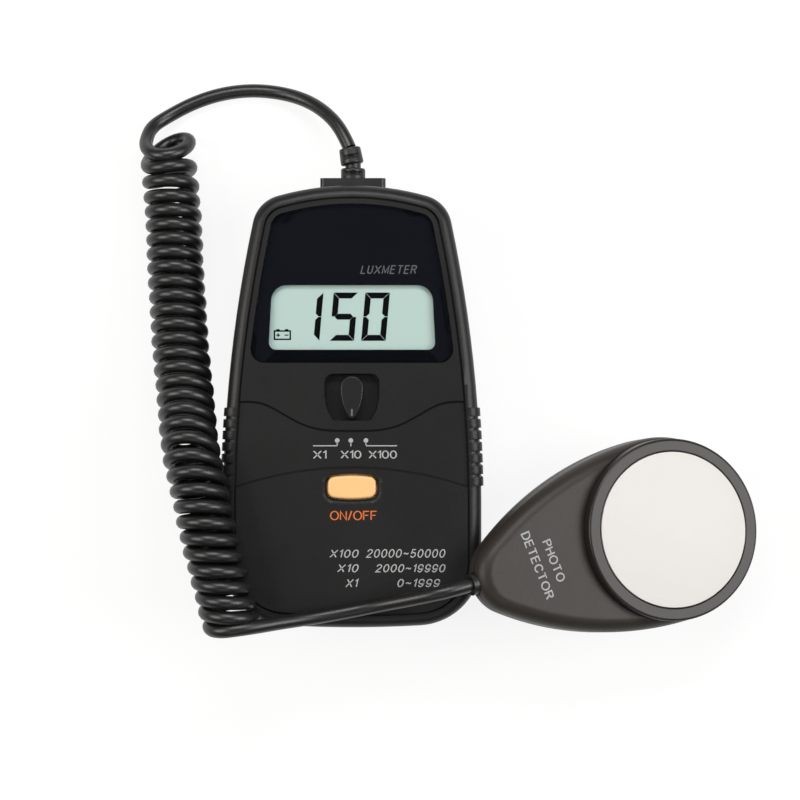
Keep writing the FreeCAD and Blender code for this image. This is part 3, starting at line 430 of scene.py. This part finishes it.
lens_finish, lens_shader, lens_place = new_finish(
    "clear_window", {"Base Color": (0.02, 0.025, 0.035, 1), "Alpha": 0.05, "Specular IOR Level": 0.5})
feed(lens_shader, "Roughness", lens_place.noise(120, detail=3.0) * 0.05 + 0.03)
refined_copy("window", "meter", lens_finish)

glass_finish, glass_shader, glass_place = new_finish("pale_green_display", {"Roughness": 0.3})
feed(glass_shader, "Base Color", glass_place.noise(90).blend((0.47, 0.62, 0.585), (0.49, 0.65, 0.61)))
finish_nodes(glass_finish, "lcd_glass")

ink_finish, ink_shader, ink_place = new_finish("display_ink", {"Roughness": 0.6, "Specular IOR Level": 0.02})
feed(ink_shader, "Base Color", ink_place.noise(400).blend((0.0010, 0.0011, 0.0011), (0.0020, 0.0022, 0.0021)))

DISPLAY_INK_Z = 0.02611
INK_THICKNESS = 0.00003
DIGIT_LOW_Y = 0.0174
DIGIT_HEIGHT = 0.0128
DIGIT_WIDTH = 0.0065
DIGIT_SLANT = math.tan(math.radians(5))
STROKE = 0.00156
SEGMENT_GAP = 0.00007
SEGMENTS = {"1": "bc", "5": "afgcd", "0": "abcdef"}
READING = (("1", -0.0152), ("5", -0.0060), ("0", 0.0024))

# The battery sign in the glass: a box with two terminals, a plus and a minus.
SIGN_WEST = -0.0208
SIGN_EAST = -0.0162
SIGN_LOW_Y = 0.0176
SIGN_HIGH_Y = 0.0202
SIGN_PEN = 0.0004
SIGN_INSET = 0.0007
TERMINAL_WIDTH = 0.0009
TERMINAL_HEIGHT = 0.0003
MARK_WIDTH = 0.0010
MARK_PEN = 0.0003


def film_mesh(name, outlines, low_z, thickness):
    """Thin solid shapes cut from flat outlines, all in one mesh."""
    corners = []
    faces = []
    for outline in outlines:
        first = len(corners)
        count = len(outline)
        corners += [(x, y, low_z) for x, y in outline]
        corners += [(x, y, low_z + thickness) for x, y in outline]
        faces.append([first + i for i in reversed(range(count))])
        faces.append([first + count + i for i in range(count)])
        for i in range(count):
            after = (i + 1) % count
            faces.append([first + i, first + after, first + count + after, first + count + i])
    mesh = bpy.data.meshes.new(name)
    mesh.from_pydata(corners, [], faces)
    return mesh


def flat_prisms(name, outlines, low_z, thickness, material):
    """A piece made of thin flat shapes in one finish."""
    mesh = film_mesh(name, outlines, low_z, thickness)
    mesh.materials.append(material)
    piece = bpy.data.objects.new(name, mesh)
    scene.collection.objects.link(piece)
    return piece


def digit_strokes(west, digit):
    """The outlines of one digit's lit parts: bars with mitred ends and hairline gaps."""
    half = STROKE / 2
    east = west + DIGIT_WIDTH
    low = DIGIT_LOW_Y
    high = low + DIGIT_HEIGHT
    middle = (low + high) / 2
    gap = SEGMENT_GAP
    shapes = {
        "a": [(west + gap, high), (west + STROKE + gap, high - STROKE), (east - STROKE - gap, high - STROKE),
              (east - gap, high)],
        "b": [(east, middle + gap), (east, high - gap), (east - STROKE, high - STROKE - gap),
              (east - STROKE, middle + half + gap), (east - half, middle + gap)],
        "c": [(east, low + gap), (east, middle - gap), (east - half, middle - gap),
              (east - STROKE, middle - half - gap), (east - STROKE, low + STROKE + gap)],
        "d": [(west + gap, low), (east - gap, low), (east - STROKE - gap, low + STROKE),
              (west + STROKE + gap, low + STROKE)],
        "e": [(west, low + gap), (west + STROKE, low + STROKE + gap), (west + STROKE, middle - half - gap),
              (west + half, middle - gap), (west, middle - gap)],
        "f": [(west, middle + gap), (west + half, middle + gap), (west + STROKE, middle + half + gap),
              (west + STROKE, high - STROKE - gap), (west, high - gap)],
        "g": [(west + half, middle), (west + STROKE, middle - half), (east - STROKE, middle - half),
              (east - half, middle), (east - STROKE, middle + half), (west + STROKE, middle + half)]}
    return [[(x + (y - DIGIT_LOW_Y) * DIGIT_SLANT, y) for x, y in shapes[part]] for part in SEGMENTS[digit]]


def bar(x1, y1, x2, y2):
    """The outline of an upright rectangle between two opposite corners."""
    return [(x1, y1), (x2, y1), (x2, y2), (x1, y2)]


def battery_sign():
    """The outlines of the battery sign's lines, terminals, plus and minus."""
    west = SIGN_WEST + SIGN_INSET
    east = SIGN_EAST - SIGN_INSET
    middle = (SIGN_LOW_Y + SIGN_HIGH_Y) / 2
    half_pen = MARK_PEN / 2
    plus_x = west + MARK_WIDTH / 2
    sides = [bar(SIGN_WEST, SIGN_LOW_Y, SIGN_EAST, SIGN_LOW_Y + SIGN_PEN),
             bar(SIGN_WEST, SIGN_HIGH_Y - SIGN_PEN, SIGN_EAST, SIGN_HIGH_Y),
             bar(SIGN_WEST, SIGN_LOW_Y + SIGN_PEN, SIGN_WEST + SIGN_PEN, SIGN_HIGH_Y - SIGN_PEN),
             bar(SIGN_EAST - SIGN_PEN, SIGN_LOW_Y + SIGN_PEN, SIGN_EAST, SIGN_HIGH_Y - SIGN_PEN)]
    terminals = [bar(west, SIGN_HIGH_Y, west + TERMINAL_WIDTH, SIGN_HIGH_Y + TERMINAL_HEIGHT),
                 bar(east - TERMINAL_WIDTH, SIGN_HIGH_Y, east, SIGN_HIGH_Y + TERMINAL_HEIGHT)]
    minus = [bar(east - MARK_WIDTH, middle - half_pen, east, middle + half_pen)]
    plus = [bar(west, middle - half_pen, west + MARK_WIDTH, middle + half_pen),
            bar(plus_x - half_pen, middle + half_pen, plus_x + half_pen, middle + half_pen + MARK_PEN),
            bar(plus_x - half_pen, middle - half_pen - MARK_PEN, plus_x + half_pen, middle - half_pen)]
    return sides + terminals + minus + plus


strokes = [outline for digit, west in READING for outline in digit_strokes(west, digit)] + battery_sign()
digits = flat_prisms("display_digits", strokes, DISPLAY_INK_Z, INK_THICKNESS, ink_finish)
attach(digits, "meter")


# ------------------------------------------------------------------ the printing
# Screen-printed words and marks: grey on the face and on the detector, orange under the button. The pale line
# on the knob is not print but a painted highlight. Each is a film of ink a few hundredths of a millimetre
# thick.
INK_FILM = 0.00003
PRINT_LIFT = 0.00001
FACE_Z = 0.0288
SUNK_FACE_Z = 0.02805
MASK_TOP_Z = 0.0274
KNOB_TOP_Z = 0.0300
MITRE_LIMIT = 0.45
SAME_POINT = 1e-9

grey_ink, grey_shader, grey_place = new_finish("grey_ink", {"Roughness": 0.55})
feed(grey_shader, "Base Color",
     grey_place.noise(2500, detail=2.0).blend((0.30, 0.305, 0.31), (0.40, 0.405, 0.41)))
orange_ink, orange_shader, orange_place = new_finish("orange_ink", {"Roughness": 0.5})
feed(orange_shader, "Base Color", orange_place.noise(2500).blend((0.56, 0.115, 0.016), (0.66, 0.15, 0.022)))


def oval(x, y, half_width, half_height, sides=20):
    """A closed oval line, as a list of points that ends where it begins."""
    angles = [2 * math.pi * i / sides for i in range(sides + 1)]
    return [(x + half_width * math.cos(angle), y + half_height * math.sin(angle)) for angle in angles]


# Each letter is the pen lines that draw it, on a body one unit high.
LETTERS = {
    "0": [oval(0.28, 0.5, 0.28, 0.5)],
    "1": [[(0, 0.76), (0.22, 1), (0.22, 0)]],
    "2": [[(0.02, 0.72), (0.06, 0.88), (0.17, 0.98), (0.30, 1), (0.45, 0.95), (0.54, 0.82), (0.54, 0.68),
           (0.46, 0.54), (0.28, 0.36), (0.08, 0.14), (0, 0), (0.56, 0)]],
    "5": [[(0.50, 1), (0.12, 1), (0.05, 0.52), (0.16, 0.61), (0.30, 0.64), (0.46, 0.57), (0.55, 0.40),
           (0.54, 0.22), (0.42, 0.05), (0.26, 0), (0.10, 0.05), (0, 0.2)]],
    "9": [oval(0.28, 0.68, 0.26, 0.32), [(0.54, 0.68), (0.53, 0.38), (0.46, 0.12), (0.32, 0), (0.16, 0.01),
                                         (0.05, 0.12), (0.03, 0.2)]],
    "~": [[(0, 0.40), (0.10, 0.53), (0.21, 0.53), (0.34, 0.42), (0.45, 0.42), (0.55, 0.55)]],
    "/": [[(0, -0.05), (0.30, 1.05)]],
    "C": [[(0.60, 0.76), (0.50, 0.93), (0.33, 1), (0.14, 0.92), (0.02, 0.70), (0, 0.5), (0.02, 0.3),
           (0.14, 0.08), (0.33, 0), (0.50, 0.07), (0.60, 0.26)]],
    "D": [[(0, 0), (0, 1), (0.26, 1), (0.46, 0.9), (0.57, 0.68), (0.58, 0.5), (0.57, 0.32), (0.46, 0.1),
           (0.26, 0), (0, 0)]],
    "E": [[(0.50, 1), (0, 1), (0, 0), (0.50, 0)], [(0, 0.52), (0.45, 0.52)]],
    "F": [[(0.50, 1), (0, 1), (0, 0)], [(0, 0.53), (0.42, 0.53)]],
    "H": [[(0, 0), (0, 1)], [(0.56, 0), (0.56, 1)], [(0, 0.53), (0.56, 0.53)]],
    "L": [[(0, 1), (0, 0), (0.46, 0)]],
    "M": [[(0, 0), (0, 1), (0.33, 0.12), (0.66, 1), (0.66, 0)]],
    "N": [[(0, 0), (0, 1), (0.54, 0), (0.54, 1)]],
    "O": [oval(0.36, 0.5, 0.36, 0.5)],
    "P": [[(0, 0), (0, 1), (0.32, 1), (0.50, 0.92), (0.54, 0.76), (0.48, 0.58), (0.32, 0.5), (0, 0.5)]],
    "R": [[(0, 0), (0, 1), (0.32, 1), (0.50, 0.93), (0.54, 0.77), (0.48, 0.6), (0.32, 0.52), (0, 0.52)],
          [(0.30, 0.52), (0.56, 0)]],
    "T": [[(0, 1), (0.58, 1)], [(0.29, 1), (0.29, 0)]],
    "U": [[(0, 1), (0, 0.28), (0.07, 0.08), (0.26, 0), (0.45, 0.08), (0.52, 0.28), (0.52, 1)]],
    "X": [[(0, 0), (0.66, 1)], [(0, 1), (0.66, 0)]],
}


def pen_stroke(points, width):
    """The outline of a pen line of one width, with mitred corners."""
    closed = math.dist(points[0], points[-1]) < SAME_POINT
    left = []
    right = []
    for i, (x, y) in enumerate(points):
        first = i == 0
        last = i == len(points) - 1
        ways = []
        if closed or not first:
            before = points[-2] if first else points[i - 1]
            ways.append(Vector((x - before[0], y - before[1])).normalized())
        if closed or not last:
            after = points[1] if last else points[i + 1]
            ways.append(Vector((after[0] - x, after[1] - y)).normalized())
        way = sum(ways, Vector((0, 0))).normalized()
        across = Vector((-way.y, way.x))
        reach = width / 2 / max(MITRE_LIMIT, abs(across.dot(Vector((-ways[0].y, ways[0].x)))))
        left.append((x + across.x * reach, y + across.y * reach))
        right.append((x - across.x * reach, y - across.y * reach))
    return left, right


def printed_words(name, words, left_x, right_x, low_y, high_y, lean=0.0, pen=0.15, letter_gap=0.24):
    """Words as a thin film of ink that fills a box in the XY plane."""
    quads = []
    at = 0.0
    for letter in words:
        lines = LETTERS[letter]
        for points in lines:
            moved = [(x + at, y) for x, y in points]
            left, right = pen_stroke(moved, pen)
            for i in range(len(left) - 1):
                quads.append([right[i], right[i + 1], left[i + 1], left[i]])
        at += max(x for points in lines for x, y in points) + letter_gap
    leaned = [[(x + y * lean, y) for x, y in quad] for quad in quads]
    xs = [x for quad in leaned for x, y in quad]
    ys = [y for quad in leaned for x, y in quad]
    wide = (right_x - left_x) / (max(xs) - min(xs))
    tall = (high_y - low_y) / (max(ys) - min(ys))
    fitted = [[(left_x + (x - min(xs)) * wide, low_y + (y - min(ys)) * tall) for x, y in quad]
              for quad in leaned]
    return film_mesh(name, fitted, 0.0, INK_FILM)


def place_print(name, mesh, at, material, body):
    """Lays a film of ink on the surface it is printed on, and lets it ride that body."""
    mesh.transform(at)
    mesh.materials.append(material)
    piece = bpy.data.objects.new(name, mesh)
    scene.collection.objects.link(piece)
    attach(piece, body)


dim_ink, dim_shader, dim_place = new_finish("dim_grey_ink", {"Roughness": 0.55})
feed(dim_shader, "Base Color",
     dim_place.noise(2500, detail=2.0).blend((0.085, 0.088, 0.095), (0.12, 0.124, 0.13)))

# How each kind of word is printed: surface height, lean, pen, letter gap, ink and slot.
TITLE_STYLE = (MASK_TOP_Z, 0.22, 0.125, 0.32, dim_ink, "rotor_white")
RANGE_STYLE = (SUNK_FACE_Z, 0.0, 0.135, 0.20, grey_ink, "rotor_white")
POWER_STYLE = (FACE_Z, 0.0, 0.125, 0.20, orange_ink, "button_orange")
ROW_STYLE = (FACE_Z, 0.2, 0.135, 0.32, grey_ink, "rotor_white")

# Each word: name, letters, left, right, low edge, high edge and style.
FACE_WORDS = [
    ("print_title", "LUXMETER", 0.0022, 0.0172, 0.03505, 0.03751, TITLE_STYLE),
    ("print_x1", "X1", -0.0103, -0.0067, -0.0138, -0.0115, RANGE_STYLE),
    ("print_x10", "X10", -0.0030, 0.0025, -0.0138, -0.0115, RANGE_STYLE),
    ("print_x100", "X100", 0.0044, 0.0119, -0.0138, -0.0115, RANGE_STYLE),
    ("print_power", "ON/OFF", -0.0058, 0.0065, -0.0302, -0.0274, POWER_STYLE),
    ("print_row1_name", "X100", -0.0059, 0.0018, -0.03995, -0.03765, ROW_STYLE),
    ("print_row2_name", "X10", -0.0039, 0.0018, -0.0438, -0.0415, ROW_STYLE),
    ("print_row3_name", "X1", -0.0017, 0.0018, -0.0477, -0.0454, ROW_STYLE),
    ("print_row1", "20000~50000", 0.0036, 0.0247, -0.03995, -0.03765, ROW_STYLE),
    ("print_row2", "2000~19990", 0.0060, 0.0247, -0.0438, -0.0415, ROW_STYLE),
    ("print_row3", "0~1999", 0.0120, 0.0233, -0.0477, -0.0454, ROW_STYLE),
]
for name, words, left, right, low, high, style in FACE_WORDS:
    surface_z, lean, pen, letter_gap, ink, slot = style
    mesh = printed_words(name, words, left, right, low, high, lean, pen, letter_gap)
    place_print(name, mesh, Matrix.Translation((0, 0, surface_z + PRINT_LIFT)), ink, "meter")


# The dots and lines that join the knob's three positions to their words.
LINE_Y = -0.0104
DOT_Y = -0.0090
DOT_RADIUS = 0.00062
DOT_OVERLAP = 0.0005
LINE_HALF = 0.00014
LOW_RANGE_X = -0.0039
MIDDLE_RANGE_X = -0.0003
HIGH_RANGE_X = 0.0037
LINE_WEST = -0.0103
LINE_EAST = 0.0119


def disc(x, y, radius, sides=20):
    """The outline of a round dot."""
    return oval(x, y, radius, radius, sides)[:-1]


def upright(x, low_y):
    """The outline of the short line that hangs from a dot."""
    return bar(x - LINE_HALF, low_y, x + LINE_HALF, DOT_Y - DOT_OVERLAP)


marks = [disc(x, DOT_Y, DOT_RADIUS) for x in (LOW_RANGE_X, MIDDLE_RANGE_X, HIGH_RANGE_X)]
marks += [bar(LINE_WEST, LINE_Y - LINE_HALF, LOW_RANGE_X, LINE_Y + LINE_HALF),
          bar(HIGH_RANGE_X, LINE_Y - LINE_HALF, LINE_EAST, LINE_Y + LINE_HALF),
          upright(LOW_RANGE_X, LINE_Y + LINE_HALF),
          upright(MIDDLE_RANGE_X, LINE_Y - LINE_HALF),
          upright(HIGH_RANGE_X, LINE_Y + LINE_HALF)]
range_marks = flat_prisms("range_marks", marks, SUNK_FACE_Z + PRINT_LIFT, INK_FILM, grey_ink)
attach(range_marks, "meter")

# The pale line on the knob's nose is a painted highlight. It stands for the lit side of the knob's moulded
# notch and is not print.
NOTCH_HIGHLIGHT_HALF_WIDTH = 0.00024
NOTCH_HIGHLIGHT_LOW_Y = -0.0025
NOTCH_HIGHLIGHT_HIGH_Y = -0.0007
notch_highlight_bar = bar(-NOTCH_HIGHLIGHT_HALF_WIDTH, NOTCH_HIGHLIGHT_LOW_Y, NOTCH_HIGHLIGHT_HALF_WIDTH, NOTCH_HIGHLIGHT_HIGH_Y)
notch_highlight_line = flat_prisms("knob_notch_painted_highlight", [notch_highlight_bar], KNOB_TOP_Z, INK_FILM, dim_ink)
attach(notch_highlight_line, "range_knob")


# ------------------------------------------------------------------ the detector head
# The head leans on the unit's rim.  Its face carries a polished black ring round a milky
# domed diffuser, and two words that read across the tip.
HEAD_ORIGIN = Vector((0.0784, -0.0344, 0.0086))
HEAD_TILT = math.radians(23.5)
HEAD_HEADING = math.radians(14.4)
HEAD_WEDGE = math.radians(6.0)
RING_SEAT = 0.0132
HEAD_FACE = 0.0160
head_place = (Matrix.Translation(HEAD_ORIGIN)
              @ Matrix.Rotation(HEAD_HEADING, 4, "Z")
              @ Matrix.Rotation(HEAD_TILT, 4, "Y"))
face_place = (head_place
              @ Matrix.Translation((0, 0, RING_SEAT))
              @ Matrix.Rotation(-HEAD_WEDGE, 4, "Y")
              @ Matrix.Translation((0, 0, HEAD_FACE - RING_SEAT + PRINT_LIFT)))

READING_TURN = math.radians(-82.6)
WORD_Y = 0.0005
WORD_HALF_HEIGHT = 0.00125
WORD_PEN = 0.15
WORD_GAP = 0.26
HEAD_WORDS = (("print_photo", "PHOTO", -0.03375, 0.0058), ("print_detector", "DETECTOR", -0.03847, 0.0093))
for name, words, along, half_length in HEAD_WORDS:
    mesh = printed_words(name, words, -half_length, half_length, -WORD_HALF_HEIGHT, WORD_HALF_HEIGHT,
                         pen=WORD_PEN, letter_gap=WORD_GAP)
    turn = Matrix.Translation((along, WORD_Y, 0)) @ Matrix.Rotation(READING_TURN, 4, "Z")
    place_print(name, mesh, face_place @ turn, grey_ink, "detector_head")

ring_finish, ring_shader, ring_place = new_finish("polished_ring", {"Specular IOR Level": 0.3})
ring_cloud = ring_place.noise(160, detail=3.0)
feed(ring_shader, "Base Color", ring_cloud.blend((0.0175, 0.0145, 0.0125), (0.0215, 0.018, 0.0155)))
feed(ring_shader, "Roughness", ring_cloud * 0.03 + 0.30)
finish_nodes(ring_finish, "diffuser_ring")

diffuser_finish, diffuser_shader, diffuser_place = new_finish(
    "milky_diffuser", {"Subsurface Weight": 0.15, "Subsurface Radius": (0.004, 0.004, 0.004),
                       "Subsurface Scale": 1.0})
milk = diffuser_place.noise(70, detail=2.0)
feed(diffuser_shader, "Base Color", milk.blend((0.60, 0.588, 0.567), (0.625, 0.613, 0.59)))
feed(diffuser_shader, "Roughness", diffuser_place.noise(1500) * 0.1 + 0.42)
finish_nodes(diffuser_finish, "diffuser")


# ------------------------------------------------------------------ button, boots and small parts
# The orange power button and the rubber boots show from above.  The screws, the foam, the
# board with its parts, the battery and the wires lie underneath or inside.
def plain_finish(name, dark, light, roughness, per_metre=600, metallic=0.0, grain_height=0.0):
    """A finish with slow clouds of tone, and a grain where it has one."""
    material, shader, place = new_finish(name, {"Metallic": metallic})
    cloud = place.noise(per_metre, detail=3.0)
    feed(shader, "Base Color", cloud.blend(dark, light))
    feed(shader, "Roughness", cloud * 0.12 + (roughness - 0.06))
    if grain_height:
        feed(shader, "Normal", place.noise(per_metre * 5).bump(grain_height, 0.5))
    return material


orange_button = plain_finish(
    "orange_button", (0.80, 0.475, 0.20), (0.85, 0.52, 0.235), 0.42, per_metre=90)
finish_nodes(orange_button, "power_button")
rubber_boot = plain_finish(
    "rubber_boot", (0.0055, 0.0055, 0.0055), (0.0095, 0.0095, 0.0095), 0.40, per_metre=300,
    grain_height=0.00002)
finish_nodes(rubber_boot, "cable_boot", "head_boot")
zinc_screw = plain_finish(
    "zinc_screw", (0.50, 0.50, 0.52), (0.62, 0.62, 0.64), 0.32, per_metre=1200, metallic=1.0)
finish_nodes(zinc_screw, "case_screws", "board_screws", "head_screws", "battery_terminals", "photodiode")
grey_foam = plain_finish(
    "grey_foam", (0.05, 0.05, 0.055), (0.09, 0.09, 0.095), 0.9, per_metre=2500, grain_height=0.0001)
finish_nodes(grey_foam, "cover_foam")
green_board = plain_finish("green_board", (0.015, 0.10, 0.035), (0.02, 0.15, 0.05), 0.3, per_metre=500)
finish_nodes(green_board, "main_board", "photodiode_board")
chip_black = plain_finish("chip_black", (0.018, 0.018, 0.018), (0.026, 0.026, 0.026), 0.6)
finish_nodes(chip_black, "converter_chip", "power_switch", "battery_snap", "filter_holder",
             "battery_lead_black")
white_plastic = plain_finish("white_plastic", (0.62, 0.62, 0.60), (0.70, 0.70, 0.67), 0.45)
finish_nodes(white_plastic, "lcd_frame", "switch_rotor", "switch_plunger", "trimmer_rotor",
             "signal_wires", "head_wires")
spring_copper = plain_finish(
    "spring_copper", (0.70, 0.42, 0.22), (0.78, 0.50, 0.28), 0.3, per_metre=900, metallic=1.0)
finish_nodes(spring_copper, "wiper_contacts", "detent_leaf")
contact_rubber = plain_finish("contact_rubber", (0.35, 0.14, 0.13), (0.42, 0.18, 0.16), 0.7)
finish_nodes(contact_rubber, "contact_strips")
resistor_tan = plain_finish("resistor_tan", (0.50, 0.36, 0.20), (0.58, 0.43, 0.25), 0.4)
finish_nodes(resistor_tan, "resistors")
capacitor_tan = plain_finish("capacitor_tan", (0.55, 0.28, 0.07), (0.65, 0.34, 0.09), 0.4)
finish_nodes(capacitor_tan, "capacitors")
trimmer_blue = plain_finish("trimmer_blue", (0.03, 0.08, 0.36), (0.04, 0.11, 0.44), 0.35)
finish_nodes(trimmer_blue, "trimmer_body")
dome_rubber = plain_finish("dome_rubber", (0.32, 0.32, 0.32), (0.40, 0.40, 0.40), 0.6)
finish_nodes(dome_rubber, "return_dome")
battery_grey = plain_finish(
    "battery_grey", (0.10, 0.11, 0.13), (0.14, 0.15, 0.17), 0.35, per_metre=200, metallic=0.4)
finish_nodes(battery_grey, "battery_9v")
lead_red = plain_finish("lead_red", (0.42, 0.015, 0.015), (0.52, 0.02, 0.02), 0.35)
finish_nodes(lead_red, "battery_lead_red")
filter_green = plain_finish("filter_green", (0.25, 0.42, 0.18), (0.30, 0.48, 0.22), 0.15)
finish_nodes(filter_green, "correction_filter")
